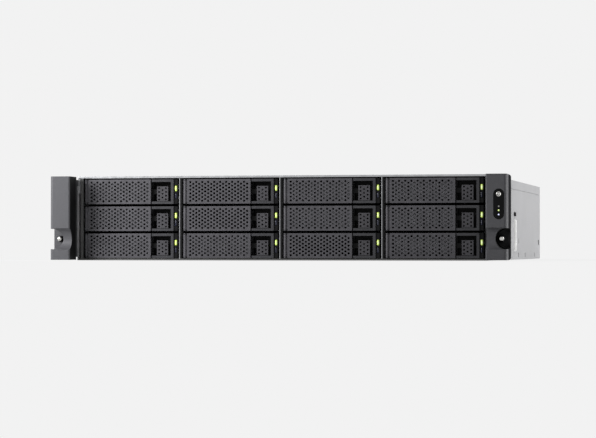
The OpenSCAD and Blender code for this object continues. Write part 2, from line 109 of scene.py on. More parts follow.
def add_node(material, kind, settings=None, **inputs):
    """Adds a shader node, sets its properties, and sets or links its inputs.

    An input is given by its name, as in Base_Color, or by its number, as in _6.
    """
    node = material.node_tree.nodes.new(kind)
    for name, value in (settings or {}).items():
        setattr(node, name, value)
    for name, value in inputs.items():
        socket = node.inputs[int(name[1:])] if name[1:].isdigit() else node.inputs[name.replace("_", " ")]
        if isinstance(value, bpy.types.NodeSocket):
            material.node_tree.links.new(value, socket)
        else:
            socket.default_value = value
    return node


def surface(name, colour, roughness, metallic=0.0, **shader):
    """A material with one Principled shader, and that shader."""
    material = bpy.data.materials.new(name)
    material.use_nodes = True
    material.node_tree.nodes.clear()
    bsdf = add_node(material, "ShaderNodeBsdfPrincipled", Base_Color=colour, Roughness=roughness,
                    Metallic=metallic, **shader)
    add_node(material, "ShaderNodeOutputMaterial", Surface=bsdf.outputs[0])
    return material, bsdf


def place(material):
    """Object coordinates, in metres."""
    return add_node(material, "ShaderNodeTexCoord").outputs["Object"]


def noise(material, size, detail=3.0, stretch=(1, 1, 1)):
    """Noise with features about size millimetres wide, and longer along an axis where stretch is small."""
    where = add_node(material, "ShaderNodeMapping", Vector=place(material), Scale=stretch).outputs[0]
    return add_node(material, "ShaderNodeTexNoise", Vector=where, Scale=per_mm(size), Detail=detail).outputs[0]


def shades(material, factor, dark, light, low=0.3, high=0.7):
    """Colour that runs from dark to light as factor runs from low to high."""
    ramp = add_node(material, "ShaderNodeMapRange", Value=factor, From_Min=low, From_Max=high)
    # 6 and 7 are the colour inputs of a Mix node, and 2 is its colour output
    mix = add_node(material, "ShaderNodeMix", {"data_type": "RGBA"}, _0=ramp.outputs[0], _6=dark, _7=light)
    return mix.outputs[2]


def vary(material, factor, low, high):
    """A value that runs from low to high with factor."""
    return add_node(material, "ShaderNodeMapRange", Value=factor, From_Min=0.3, From_Max=0.7,
                    To_Min=low, To_Max=high).outputs[0]


def bump(material, height, strength, depth):
    """Bump from a height, depth millimetres deep."""
    return add_node(material, "ShaderNodeBump", Height=height, Strength=strength, Distance=depth * MM).outputs[0]


def join_surface(material, bsdf, colour=None, roughness=None, normal=None):
    """Links colour, roughness and normal to the shader."""
    for socket, value in (("Base Color", colour), ("Roughness", roughness), ("Normal", normal)):
        if value is not None:
            material.node_tree.links.new(value, bsdf.inputs[socket])


def scaled(colour, by):
    """A colour made darker or lighter."""
    return tuple(min(1.0, c * by) for c in colour[:3]) + (1.0,)


def mixed(colour, other, share):
    """A colour with a share of another one."""
    return tuple(a + (b - a) * share for a, b in zip(colour[:3], other)) + (1.0,)


def powder_coated_steel(name, grey):
    """Sheet steel with a satin powder coat: an even colour with a faint orange peel."""
    material, bsdf = surface(name, grey, 0.48, Specular_IOR_Level=0.3)
    peel = noise(material, 1.2)
    clouds = noise(material, 60, 2)
    join_surface(material, bsdf, shades(material, clouds, scaled(grey, 0.96), scaled(grey, 1.03)),
                 vary(material, peel, 0.44, 0.54), bump(material, peel, 0.15, 0.05))
    return material


def plated_metal(name, grey, rough):
    """Bare or plated sheet metal: dull, with a faint spangle about 6 mm wide."""
    material, bsdf = surface(name, grey, rough, 1.0)
    spangle = noise(material, 6, 1)
    join_surface(material, bsdf, shades(material, spangle, scaled(grey, 0.9), scaled(grey, 1.06)),
                 vary(material, noise(material, 2), rough - 0.06, rough + 0.1))
    return material


def moulded_plastic(name, grey, rough, shine=0.2):
    """Injection-moulded ABS or nylon with a spark-eroded grain: matt, with its reflections blurred away.

    The real grain is about 0.1 mm, and is drawn 0.5 mm to show. It scatters the mirror image, so its shine is
    under the 0.5 of a smooth plastic.
    """
    material, bsdf = surface(name, grey, rough, IOR=1.53, Specular_IOR_Level=shine)
    grain = noise(material, 0.5, 4)
    flow = noise(material, 9, 2)
    join_surface(material, bsdf, shades(material, flow, scaled(grey, 0.9), scaled(grey, 1.08)),
                 vary(material, grain, rough - 0.07, rough + 0.07), bump(material, grain, 0.3, 0.06))
    return material


def metallic_lacquer(name, grey):
    """A satin lacquer that holds fine aluminium flake, drawn 0.4 mm wide: a soft sheen with a faint sparkle."""
    material, bsdf = surface(name, grey, 0.4, 0.12, Specular_IOR_Level=0.2)
    flake = noise(material, 0.4, 2)
    join_surface(material, bsdf, shades(material, flake, scaled(grey, 0.88), scaled(grey, 1.12)),
                 vary(material, flake, 0.34, 0.46), bump(material, flake, 0.12, 0.03))
    return material


def polished_acrylic(name, black):
    """Black acrylic with a polished face: deep black with clear reflections."""
    material, bsdf = surface(name, black, 0.06, IOR=1.49, Specular_IOR_Level=0.1)
    join_surface(material, bsdf, roughness=vary(material, noise(material, 8), 0.04, 0.09))
    return material


def nickel_plated_steel(name, grey):
    """Turned steel with bright nickel plating, and fine rings left by the tool."""
    material, bsdf = surface(name, grey, 0.22, 1.0)
    rings = noise(material, 0.5, 2, (1, 0.1, 1))
    join_surface(material, bsdf, shades(material, rings, scaled(grey, 0.85), grey),
                 vary(material, rings, 0.16, 0.3))
    return material


def solder_masked_laminate(name, green):
    """Glass-epoxy board under green solder mask: glossy, with a faint weave 1 mm wide."""
    material, bsdf = surface(name, green, 0.3)
    weave = noise(material, 1.0, 1, (1, 0.3, 1))
    join_surface(material, bsdf, shades(material, weave, scaled(green, 0.8), scaled(green, 1.2)),
                 vary(material, weave, 0.25, 0.38))
    return material


def extruded_aluminium(name, grey):
    """Bare extruded aluminium with die lines along its length."""
    material, bsdf = surface(name, grey, 0.3, 1.0)
    lines = noise(material, 0.8, 2, (1, 0.03, 1))
    join_surface(material, bsdf, shades(material, lines, scaled(grey, 0.85), grey),
                 vary(material, lines, 0.24, 0.4))
    return material


def cast_aluminium(name, grey):
    """Die-cast drive body: matt metal with a soft mottle."""
    material, bsdf = surface(name, grey, 0.45, 1.0)
    mottle = noise(material, 3, 4)
    join_surface(material, bsdf, shades(material, mottle, scaled(grey, 0.8), grey),
                 vary(material, mottle, 0.38, 0.55), bump(material, mottle, 0.2, 0.05))
    return material


def light_pipe(name, colour, glow):
    """Moulded acrylic light pipe. A lit one glows with its own colour and is palest in its middle."""
    material, bsdf = surface(name, colour, 0.25, IOR=1.49)
    join_surface(material, bsdf, roughness=vary(material, noise(material, 1.0), 0.2, 0.32))
    inside_box = add_node(material, "ShaderNodeTexCoord").outputs["Generated"]
    across = add_node(material, "ShaderNodeVectorMath", {"operation": "MULTIPLY"}, _0=inside_box,
                      _1=(1, 0, 1))
    from_middle = add_node(material, "ShaderNodeVectorMath", {"operation": "DISTANCE"}, _0=across.outputs[0],
                           _1=(0.5, 0, 0.5))
    pale = mixed(colour, (1, 1, 1), 0.85)
    core = shades(material, from_middle.outputs["Value"], pale, scaled(colour, 0.5), 0.1, 0.55)
    material.node_tree.links.new(core, bsdf.inputs["Emission Color"])
    bsdf.inputs["Emission Strength"].default_value = glow
    return material


def finish_named(name):
    """A finish by the name that the pieces use for it, made the first time it is asked for."""
    if name in bpy.data.materials:
        return bpy.data.materials[name]
    looks = bpy.context.scene.storage_looks
    makers = {
        "powder_coated_steel": (powder_coated_steel, tuple(looks.case)),
        "zinc_plated_steel": (plated_metal, linear("#8b8c8e"), 0.34),
        "cut_steel": (plated_metal, linear("#a3a4a6"), 0.4),  # edges fresh from the shear: pale
        "bright_steel": (plated_metal, linear("#f4f4f2"), 0.3),  # almost white where it faces a lamp
        "cage_steel": (plated_metal, linear("#6c6d70"), 0.38),  # dark plating behind the trays
        "blackened_steel": (plated_metal, linear("#2c2c2e"), 0.35),  # black oxide: dark with a metal's shine
        "gilt_contact": (plated_metal, linear("#c8a24a"), 0.25),  # thin gold plating: a warm glint
        "nickel_plated_steel": (nickel_plated_steel, linear("#c9c8c4")),
        "extruded_aluminium": (extruded_aluminium, linear("#b4b6b9")),
        "cast_aluminium": (cast_aluminium, linear("#a3a5a8")),
        "ear_lacquer": (metallic_lacquer, tuple(looks.ear)),
        "bracket_coat": (metallic_lacquer, scaled(looks.ear, 0.95)),  # the ears' lacquer, on steel
        "bezel_abs": (moulded_plastic, tuple(looks.bezel), 0.42),
        "lever_abs": (moulded_plastic, tuple(looks.lever), 0.45),
        "tongue_abs": (moulded_plastic, scaled(looks.lever, 0.8), 0.42),  # the levers' plastic, darkened as painted shade in the pocket
        "pocket_abs": (moulded_plastic, linear("#0a0a0b"), 0.6, 0.12),  # matt black in the port bores, the button's sunk ring and the strips by the lights, and painted shade in the tray pockets and on the tongues' arms
        "cheek_abs": (moulded_plastic, linear("#0c0c0d"), 0.6, 0.12),  # the same black, on the ear cheeks, and painted shade in the ear notches and on the cage's front between the trays
        "seat_nylon": (moulded_plastic, linear("#0a0a0b"), 0.5, 0.12),  # black, a little smoother than ABS
        "fan_nylon": (moulded_plastic, linear("#1c1c1d"), 0.55),  # glass-filled: dark grey and matt
        "catch_nylon": (moulded_plastic, tuple(looks.catch), 0.4),  # a touch colour, with a low sheen
        "polished_acrylic": (polished_acrylic, linear("#070708")),
        "solder_masked_laminate": (solder_masked_laminate, linear("#1e5a3c")),
        "lit_pipe": (light_pipe, tuple(looks.light), looks.glow),
        "white_pipe": (light_pipe, linear("#c4ccff"), looks.glow),
        "grey_pipe": (light_pipe, linear("#63635c"), 0.2),  # a light that is barely on
        "dark_pipe": (light_pipe, linear("#0c1028"), 0.0),  # unlit: a dark blue lens
    }
    maker, *values = makers[name]
    return maker(name, *values)


# Shapes


def paint(obj, *finishes):
    """Gives an object its finishes, in the order of its material slots."""
    if obj.data.materials:
        obj.data.materials.clear()
    for name in finishes:
        obj.data.materials.append(finish_named(name))


def soften(obj, width):
    """Rounds an object's sharp edges by width millimetres, as moulding, folding or plating leaves them."""
    weld = obj.modifiers.new("weld", "WELD")
    weld.merge_threshold = TINY
    flat = obj.modifiers.new("flat", "DECIMATE")
    flat.decimate_type = "DISSOLVE"
    flat.angle_limit = math.radians(1)
    flat.delimit = {"MATERIAL"}
    edge = obj.modifiers.new("edge", "BEVEL")
    edge.width = width * MM
    edge.segments = 2
    edge.limit_method = "ANGLE"
    edge.angle_limit = math.radians(40)
    normals = obj.modifiers.new("normals", "WEIGHTED_NORMAL")
    normals.keep_sharp = True


def finish_node(node, finish, width):
    """Gives a CAD node its finish and rounded edges."""
    obj = frame["nodes"][node]
    paint(obj, finish)
    soften(obj, width)


def add_piece(name, mesh, body, finishes, width=0.0, replaced=None):
    """A new piece from a bmesh: it rides on a body and has its finishes, and rounded edges if width isn't 0."""
    data = bpy.data.meshes.new(name)
    mesh.to_mesh(data)
    mesh.free()
    obj = bpy.data.objects.new(name, data)
    bpy.context.collection.objects.link(obj)
    for face in data.polygons:
        face.use_smooth = True
    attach(obj, body)
    if replaced:
        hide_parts(replaced)
    paint(obj, *finishes)
    if width:
        soften(obj, width)


def copy_of(node):
    """A CAD node's mesh with its corners joined."""
    mesh = bmesh.new()
    mesh.from_mesh(frame["nodes"][node].data)
    bmesh.ops.remove_doubles(mesh, verts=mesh.verts, dist=TINY)
    return mesh


class Solid(NamedTuple):
    """One closed solid of a CAD node, with its lowest and highest corner."""

    mesh: bmesh.types.BMesh
    low: Vector
    high: Vector

    @property
    def width(self):
        """Its size from side to side, in metres."""
        return self.high.x - self.low.x


def joined_to(first, seen):
    """The corners that edges join to the first one, itself included; all are added to seen."""
    seen.add(first)
    group = [first]
    for vert in group:
        for edge in vert.link_edges:
            other = edge.other_vert(vert)
            if other not in seen:
                seen.add(other)
                group.append(other)
    return group


def solids_of(node):
    """A CAD node's separate solids, from the front to the back."""
    whole = copy_of(node)
    seen = set()
    found = []
    for first in whole.verts:
        if first in seen:
            continue
        mesh = bmesh.new()
        copies = {vert: mesh.verts.new(vert.co) for vert in joined_to(first, seen)}
        for face in whole.faces:
            if face.verts[0] in copies:
                mesh.faces.new([copies[vert] for vert in face.verts])
        low, high = (Vector([pick(vert.co[i] for vert in copies) for i in range(3)]) for pick in (min, max))
        found.append(Solid(mesh, low, high))
    whole.free()
    return sorted(found, key=lambda solid: (round(solid.low.y, 5), round(solid.low.x, 5), solid.low.z))


def choose_finishes(mesh, choose):
    """Gives each face the slot number that choose returns for its middle and its normal."""
    mesh.normal_update()
    for face in mesh.faces:
        face.material_index = choose(face.calc_center_median(), face.normal)


def lathe(profile, centre, steps=48, grooves=0.0):
    """A solid turned about an axis along Y through centre, from a profile of (radius, depth, slot).

    Radius and depth are in millimetres. The depth is counted from centre towards +Y, and slot is the finish of
    the band that starts there. Every second step lies grooves millimetres deeper, which knurls a rim.
    """
    mesh = bmesh.new()
    rings = []
    for radius, depth, _ in profile:
        if radius == 0:
            rings.append([mesh.verts.new(Vector(centre) + Vector((0, depth * MM, 0)))])
            continue
        ring = []
        for i in range(steps):
            turn = 2 * math.pi * i / steps
            reach = (radius - grooves * (i % 2)) * MM
            where = Vector((reach * math.cos(turn), depth * MM, reach * math.sin(turn)))
            ring.append(mesh.verts.new(Vector(centre) + where))
        rings.append(ring)
    for near, far, (_, _, band) in zip(rings, rings[1:], profile):
        for i in range(steps):
            j = (i + 1) % steps
            corners = [near[i % len(near)], near[j % len(near)], far[j % len(far)], far[i % len(far)]]
            unique = list(dict.fromkeys(corners))
            if len(unique) > 2:
                mesh.faces.new(unique).material_index = band
    bmesh.ops.recalc_face_normals(mesh, faces=mesh.faces)
    return mesh


def everything(mesh):
    """All corners, edges and faces of a bmesh."""
    return mesh.verts[:] + mesh.edges[:] + mesh.faces[:]


def opening(name):
    """The lowest and highest corner of a stated opening, in metres."""
    for entry in frame["record"]["physics"]["openings"]:
        if entry["name"] == name:
            return [Vector(corner) for corner in entry["box_m"]]
    raise RuntimeError(f"no opening named {name}")


def inside(point, box, margin):
    """Whether a point is in a box grown by margin millimetres."""
    low, high = box
    return all(low[i] - margin * MM <= point[i] <= high[i] + margin * MM for i in range(3))


# Operators, one for each piece or group of like pieces


class STORAGE_OT_case(bpy.types.Operator):
    """Build the steel case, its cover, rear panel and rail hooks, and finish its screws"""

    bl_idname = "storage.case"
    bl_label = "Steel case"

    def execute(self, context):
        fold = context.scene.storage_looks.fold
        for node, name in (("chassis_base", "case_shell"), ("top_cover", "case_cover")):
            build_case_sheet(node, name, fold)
        finish_node("cover_screws", "nickel_plated_steel", fold / 2)
        build_rear_panel(fold)
        build_rail_grips()
        return {"FINISHED"}


def build_case_sheet(node, name, fold):
    """Coated sheet of the case, with bare metal on the edges that were cut at the front."""
    cut_edges_y = FACE_Y + 4 * MM
    mesh = copy_of(node)
    choose_finishes(mesh, lambda middle, normal: 1 if normal.y < -0.5 and middle.y < cut_edges_y else 0)
    add_piece(name, mesh, "chassis", ["powder_coated_steel", "cut_steel"], fold, node)


def build_rear_panel(fold):
    """The coated rear sheets, and the plated covers of the expansion slots, which are the narrow ones."""
    parts = solids_of("rear_panel")
    narrowest, widest = 8 * MM, 40 * MM  # of a slot cover: the strips are narrower and the sheets wider
    covers = [part for part in parts if narrowest < part.width < widest]
    sheets = [part for part in parts if part not in covers]
    for number, sheet in enumerate(sheets, 1):
        replaced = "rear_panel" if number == 1 else None
        add_piece(f"rear_sheet_{number}", sheet.mesh, "chassis", ["powder_coated_steel"], fold / 2, replaced)
    for number, cover in enumerate(covers, 1):
        add_piece(f"slot_cover_{number}", cover.mesh, "chassis", ["zinc_plated_steel"], fold)


def build_rail_grips():
    """The bright hook and the dark stud on each side, which hold a sliding rail: both taper outwards."""
    side_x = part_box("chassis_base")[1][0] - RAIL_GRIP_SINK * MM
    middle_y = FACE_Y + RAIL_GRIP_BACK * MM
    for side, name in ((-1, "left"), (1, "right")):
        for kind, finish, (reach, depth, height), middle_z in RAIL_GRIPS:
            mesh = bmesh.new()
            bmesh.ops.create_cube(mesh, size=1.0)
            for vert in mesh.verts:
                outer = vert.co.x > 0
                x = side * (side_x + (reach * MM if outer else 0))
                y = middle_y + vert.co.y * depth * (0.75 if outer else 1) * MM
                z = (middle_z + vert.co.z * height * (0.94 if outer else 1)) * MM
                vert.co = (x, y, z)
            bmesh.ops.recalc_face_normals(mesh, faces=mesh.faces)
            add_piece(f"rail_{kind}_{name}", mesh, "chassis", [finish], 0.5)


class STORAGE_OT_cage(bpy.types.Operator):
    """Build the drive cage: dark ledges and sill, bare folds on the dividers, a lip over the top row, and black
    painted shade on its front between the trays
    """

    bl_idname = "storage.cage"
    bl_label = "Drive cage"

    def execute(self, context):
        mesh = copy_of("bay_cage")
        first_low, first_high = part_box("tray_carrier_r1c1")
        lip_z = first_high[2] + 1.0 * MM
        lip_y = FACE_Y + 3 * MM
        sill_z = 2.5 * MM
        fold_ends = [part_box(f"tray_carrier_r1c{column}")[0][0] - FOLD_GAP * MM for column in COLUMNS[1:]]
        for x in fold_ends:
            bmesh.ops.bisect_plane(mesh, geom=everything(mesh), plane_co=(x, 0, 0), plane_no=(1, 0, 0))

        def choose(middle, normal):
            if middle.z > lip_z and middle.y < lip_y:
                return 1
            front = middle.y < FACE_Y + 0.8 * MM and normal.y < -0.5
            if front and middle.x > first_low[0] and middle.z > sill_z:
                # the rest of the cage's front, between the trays, is painted black as shade
                return 2 if any(x - FOLD_REACH * MM < middle.x < x for x in fold_ends) else 3
            return 0

        choose_finishes(mesh, choose)
        finishes = ["cage_steel", "cut_steel", "zinc_plated_steel", "cheek_abs"]
        add_piece("drive_cage", mesh, "chassis", finishes, context.scene.storage_looks.fold, "bay_cage")
        return {"FINISHED"}


class STORAGE_OT_inside(bpy.types.Operator):
    """Build the mainboard with its ports, and finish the backplane, memory, heatsink and fans"""

    bl_idname = "storage.inside"
    bl_label = "Boards and fans"

    def execute(self, context):
        build_mainboard()
        for node in ("backplane", "memory_modules"):
            finish_node(node, "solder_masked_laminate", 0.1)
        finish_node("heatsink", "extruded_aluminium", 0.1)
        for node in ("fan_frames", "fan_rotor_1", "fan_rotor_2", "fan_rotor_3"):
            finish_node(node, "fan_nylon", 0.3)
        return {"FINISHED"}


def build_mainboard():
    """The board with its black sockets, and the shells of the ports, with contacts in the network ones."""
    parts = solids_of("mainboard")
    board = next(part for part in parts if part.width > 100 * MM)
    ports = sorted((part for part in parts if part is not board), key=lambda port: port.low.x)
    sockets_z = max(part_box("mainboard")[0][2], board.low.z) + (BOARD_THICKNESS + 0.2) * MM
    choose_finishes(board.mesh, lambda middle, normal: 1 if middle.z > sockets_z else 0)
    add_piece("main_board", board.mesh, "chassis", ["solder_masked_laminate", "fan_nylon"], 0.1, "mainboard")
    for number, port in enumerate(ports, 1):
        build_port(number, port)
        if number <= NETWORK_PORTS:
            build_contacts(number, port.low, port.high)


def build_port(number, port):
    """A port's plated shell, black in its bore."""
    wall = PORT_WALL * MM
    bore = port.low + Vector((wall, wall, wall)), port.high - Vector((wall, 0.2 * MM, wall))
    choose_finishes(port.mesh, lambda middle, normal: 1 if inside(middle, bore, 0) else 0)
    add_piece(f"port_shell_{number}", port.mesh, "chassis", ["nickel_plated_steel", "pocket_abs"], 0.15)


def build_contacts(number, low, high):
    """The slanted gilt springs in a network port, each 0.44 mm wide and 0.25 mm thick."""
    mesh = bmesh.new()
    half = Vector((0.22, 0, 0)) * MM
    thick = Vector((0, 0, 0.25)) * MM
    for i in range(CONTACTS):
        x = (low.x + high.x) / 2 + (i - (CONTACTS - 1) / 2) * CONTACT_PITCH * MM
        ends = [Vector((x, high.y - 8.5 * MM, high.z - 3.2 * MM)),
                Vector((x, high.y - 3.0 * MM, high.z - 5.4 * MM))]
        places = [end + side * half + up * thick for end in ends for up in (0, 1) for side in (-1, 1)]
        corners = [mesh.verts.new(where) for where in places]
        for face in ((0, 1, 3, 2), (4, 6, 7, 5), (0, 4, 5, 1), (2, 3, 7, 6), (0, 2, 6, 4), (1, 5, 7, 3)):
            mesh.faces.new([corners[k] for k in face])
    bmesh.ops.recalc_face_normals(mesh, faces=mesh.faces)
    add_piece(f"port_contacts_{number}", mesh, "chassis", ["gilt_contact"])


class STORAGE_OT_power_modules(bpy.types.Operator):
    """Build the two power modules, with their inlets and handles, and finish their catches"""

    bl_idname = "storage.power_modules"
    bl_label = "Power modules"

    def execute(self, context):
        for number in (1, 2):
            build_power_module(number)
            finish_node(f"module_latch_{number}", "catch_nylon", 0.4)
        return {"FINISHED"}


def build_power_module(number):
    """A power module: plated sheet, a black inlet with bright pins and a black handle."""
    low_part = opening(f"inlet_{number}_low")
    high_part = opening(f"inlet_{number}_high")
    inlet = low_part[0], high_part[1]
    inlet_x = (inlet[0].x + inlet[1].x) / 2
    outside_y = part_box("rear_panel")[1][1] + 0.05 * MM
    pins_y = low_part[0].y + 0.5 * MM
    pins_reach = 8.5 * MM

    def choose(middle, normal):
        if middle.y > outside_y:
            return 1
        if not inside(middle, inlet, 0.5):
            return 0
        between = low_part[1].z < middle.z < high_part[0].z and middle.y > pins_y
        return 2 if between and abs(middle.x - inlet_x) < pins_reach else 1

    mesh = copy_of(f"power_module_{number}")
    choose_finishes(mesh, choose)
    add_piece(f"power_unit_{number}", mesh, f"module_{number}",
              ["zinc_plated_steel", "fan_nylon", "nickel_plated_steel"], 0.3, f"power_module_{number}")


class STORAGE_OT_trays(bpy.types.Operator):
    """Build the bezel, the drive and the two status lights of each tray"""

    bl_idname = "storage.trays"
    bl_label = "Drive trays"

    def execute(self, context):
        for bay in BAYS:
            build_tray(bay, context.scene.storage_looks.edge)
        return {"FINISHED"}


def build_tray(bay, edge):
    """One tray: the bezel with black painted shade in its pocket, steel rails, the drive, and a lit and an unlit
    status light.
    """
    node = f"tray_carrier_{bay}"
    body = f"tray_{bay}"
    bezel, *others = solids_of(node)
    lenses = sorted((part for part in others if part.width < 5 * MM), key=lambda lens: -lens.low.z)
    drive = next(part for part in others if part not in lenses)
    low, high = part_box(node)
    tray_z = (low[2] + high[2]) / 2
    lever_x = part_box(f"tray_lever_{bay}")[1][0]
    strip_x = lenses[0].low.x - 1.2 * MM
    front_y = FACE_Y + 0.1 * MM
    rails_y = FACE_Y + 12.2 * MM
    half_pocket = 10.4 * MM

    def choose(middle, normal):
        if middle.y > rails_y:
            return 2
        if middle.x > strip_x:
            return 1
        rim = middle.y < front_y or middle.x < lever_x or abs(middle.z - tray_z) > half_pocket
        # faces inside the pocket get slot 1, black painted shade
        return 0 if rim else 1

    choose_finishes(bezel.mesh, choose)
    add_piece(f"tray_bezel_{bay}", bezel.mesh, body, ["bezel_abs", "pocket_abs", "zinc_plated_steel"], edge,
              node)
    add_piece(f"disk_drive_{bay}", drive.mesh, body, ["cast_aluminium"], 0.6)
    for lens, kind in zip(lenses, ("lit", "dark")):
        add_piece(f"{kind}_light_{bay}", lens.mesh, body, [f"{kind}_pipe"], 0.9)


class STORAGE_OT_levers(bpy.types.Operator):
    """Finish the perforated levers, and build the release tongues, darkened and with arms painted black, as
    painted shade in the pockets
    """

    bl_idname = "storage.levers"
    bl_label = "Levers and tongues"

    def execute(self, context):
        edge = context.scene.storage_looks.edge
        for bay in BAYS:
            finish_node(f"tray_lever_{bay}", "lever_abs", edge)
            build_tongue(bay, edge)
        return {"FINISHED"}


def build_tongue(bay, edge):
    """A release tongue: the perforated pad under the finger, darkened as painted shade, and an arm that reaches
    under the lever, painted black as shade.
    """
    node = f"tray_latch_{bay}"
    low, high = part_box(node)
    pad_x = high[0] - 12 * MM
    pad_front_y = low[1] + 0.3 * MM
    arm_y = FACE_Y + 3.5 * MM

    def choose(middle, normal):
        if middle.y < pad_front_y:
            return 0
        # the arm and the back are painted black as the shade in the pocket
        return 1 if middle.x < pad_x or middle.y > arm_y else 0

    mesh = copy_of(node)
    choose_finishes(mesh, choose)
    add_piece(f"tongue_{bay}", mesh, f"latch_{bay}", ["tongue_abs", "pocket_abs"], edge, node)


class STORAGE_OT_ears(bpy.types.Operator):
    """Build the rack ears: lacquered covers with black cheeks and black painted shade in their notches, steel
    flanges and captive screws
    """

    bl_idname = "storage.ears"
    bl_label = "Rack ears"

    def execute(self, context):
        looks = context.scene.storage_looks
        build_flanges()
        for side in ("left", "right"):
            build_ear_cover(side, looks.edge * 2)
            build_rack_screw(side, looks.knurls)
        build_screw_seat()
        return {"FINISHED"}


def screw_axis(side):
    """Where a captive screw's head meets the flange, in metres."""
    low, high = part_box(f"rack_screw_{side}")
    return Vector(((low[0] + high[0]) / 2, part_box("rack_brackets")[0][1], (low[2] + high[2]) / 2))


def build_ear_cover(side, edge):
    """An ear cover: lacquered, but black on the cheek beside the trays, and painted black on the notch's round
    wall as its shade.
    """
    node = f"ear_cover_{side}"
    low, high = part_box(node)
    inward = 1 if side == "left" else -1
    cheek_x = high[0] if side == "left" else low[0]
    screw = screw_axis(side)
    notch = Vector((screw.x - inward * SCREW_TO_NOTCH * MM, 0, screw.z))
    notch_radius = 10.9 * MM
    notch_y = low[1] + 4 * MM

    def choose(middle, normal):
        on_cheek = abs(middle.x - cheek_x) < 0.3 * MM and normal.x * inward > 0.9
        if normal.y > 0.5 or on_cheek:
            return 1
        to_axis = Vector((middle.x, 0, middle.z)) - notch
        # the notch's round wall is painted black as its shade
        round_wall = abs(normal.y) < 0.1 and to_axis.length < notch_radius and middle.y > notch_y
        return 1 if round_wall else 0

    mesh = copy_of(node)
    choose_finishes(mesh, choose)
    add_piece(f"ear_shell_{side}", mesh, "chassis", ["ear_lacquer", "cheek_abs"], edge, node)


def build_flanges():
    """The steel flanges behind the ear covers, with their outer corners rounded."""
    mesh = copy_of("rack_brackets")
    low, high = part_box("rack_brackets")
    corners = []
    for edge in mesh.edges:
        start, end = (vert.co for vert in edge.verts)
        along_y = abs(start.x - end.x) < TINY and abs(start.z - end.z) < TINY
        at_side = abs(abs(start.x) - high[0]) < 10 * TINY
        at_end = min(start.z - low[2], high[2] - start.z) < 10 * TINY
        if along_y and at_side and at_end:
            corners.append(edge)
    bmesh.ops.bevel(mesh, geom=corners, offset=3 * MM, segments=6, profile=0.5, affect="EDGES",
                    clamp_overlap=True)
    leg_x = high[0] - 21 * MM  # the blackened legs along the case start here
    choose_finishes(mesh, lambda middle, normal: 1 if abs(middle.x) < leg_x else 0)
    add_piece("ear_flanges", mesh, "chassis", ["bracket_coat", "blackened_steel"], 0.3, "rack_brackets")


def build_rack_screw(side, knurls):
    """A captive screw: knurled dark collar, bright domed head, waist and thread."""
    node = f"rack_screw_{side}"
    axis = screw_axis(side)
    low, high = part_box(node)
    front = (low[1] - axis.y) / MM
    back = (high[1] - axis.y) / MM
    neck = 2.8
    half_turn = THREAD_PITCH / 2
    head = [(0, front, 0), (1.6, front, 0), (2.4, front + 0.5, 0), (2.7, front + 1.4, 0),
            (2.7, front + 3.6, 0)]
    waist = [(2.1, neck - 3.4, 0), (2.1, neck, 0)]
    half_turns = int((back - neck - 1.2) / half_turn)
    thread = [(2.5 - 0.35 * (i % 2), neck + half_turn * (i + 1), 0) for i in range(half_turns)]
    tip = [(1.9, back, 0), (0, back, 0)]
    body = f"screw_{side}"
    shank = lathe(head + waist + thread + tip, axis)
    add_piece(f"screw_{side}", shank, body, ["nickel_plated_steel"], 0.0, node)
    collar = [(2.75, front + 3.8, 0), (3.4, front + 4.0, 0), (3.45, front + 4.3, 0), (3.45, -0.5, 0),
              (3.2, -0.15, 0), (2.15, -0.15, 0), (2.15, front + 3.8, 0), (2.75, front + 3.8, 0)]
    grip = lathe(collar, axis, knurls * 2, 0.18)
    add_piece(f"screw_collar_{side}", grip, body, ["blackened_steel"])


def build_screw_seat():
    """The black moulded cup around the right screw, cut off square at the flange's edge."""
    flange_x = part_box("rack_brackets")[1][0]
    centre = screw_axis("right") + Vector((SCREW_TO_NOTCH * MM, 0, 0))
    cup = [(0, -0.6, 0), (8.6, -0.6, 0), (9.2, -2.2, 0), (10.2, -2.4, 0), (10.4, -2.0, 0), (10.4, -0.05, 0),
           (0, -0.05, 0)]
    mesh = lathe(cup, centre, 72)
    cut = bmesh.ops.bisect_plane(mesh, geom=everything(mesh), plane_co=(flange_x - 0.1 * MM, 0, 0),
                                 plane_no=(1, 0, 0), clear_outer=True)
    rim = [part for part in cut["geom_cut"] if isinstance(part, bmesh.types.BMEdge)]
    bmesh.ops.holes_fill(mesh, edges=rim)
    add_piece("screw_seat", mesh, "chassis", ["seat_nylon"])


class STORAGE_OT_front_panel(bpy.types.Operator):
    """Build the power button and the three indicators in the right ear's window"""

    bl_idname = "storage.front_panel"
    bl_label = "Power button and window"

    def execute(self, context):
        looks = context.scene.storage_looks
        finish_node("status_window", "polished_acrylic", 0.2)
        low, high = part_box("power_button")
        front = Vector(((low[0] + high[0]) / 2, low[1], (low[2] + high[2]) / 2))
        build_button(front, (high[0] - low[0]) / 2 / MM, (high[1] - low[1]) / MM)
        build_indicators(front, looks.indicator / 2)
        return {"FINISHED"}


def build_button(front, radius, depth):
    """The plated power button, with a dark ring sunk around its middle. Radius and depth are in millimetres."""
    cap = [(0, 0.25, 0), (0.7, 0.3, 0), (0.95, 0.6, 1), (1.35, 0.7, 1), (1.5, 0.12, 0), (radius - 0.35, 0, 0),
           (radius - 0.05, 0.2, 0), (radius, 0.5, 0), (radius, depth, 0), (0, depth, 0)]
    add_piece("button_cap", lathe(cap, front), "button", ["nickel_plated_steel", "pocket_abs"], 0.0,
              "power_button")


def build_indicators(button, dot):
    """The domed lenses in the window under the button, each dot millimetres in radius."""
    window_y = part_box("status_window")[0][1]
    lens = [(0, -0.15, 0), (dot * 0.6, -0.1, 0), (dot, 0.05, 0), (dot, 0.4, 0), (0, 0.4, 0)]
    for number, (kind, drop) in enumerate(INDICATORS, 1):
        centre = Vector((button.x, window_y, button.z - drop * MM))
        add_piece(f"indicator_{number}", lathe(lens, centre, 24), "chassis", [f"{kind}_pipe"])


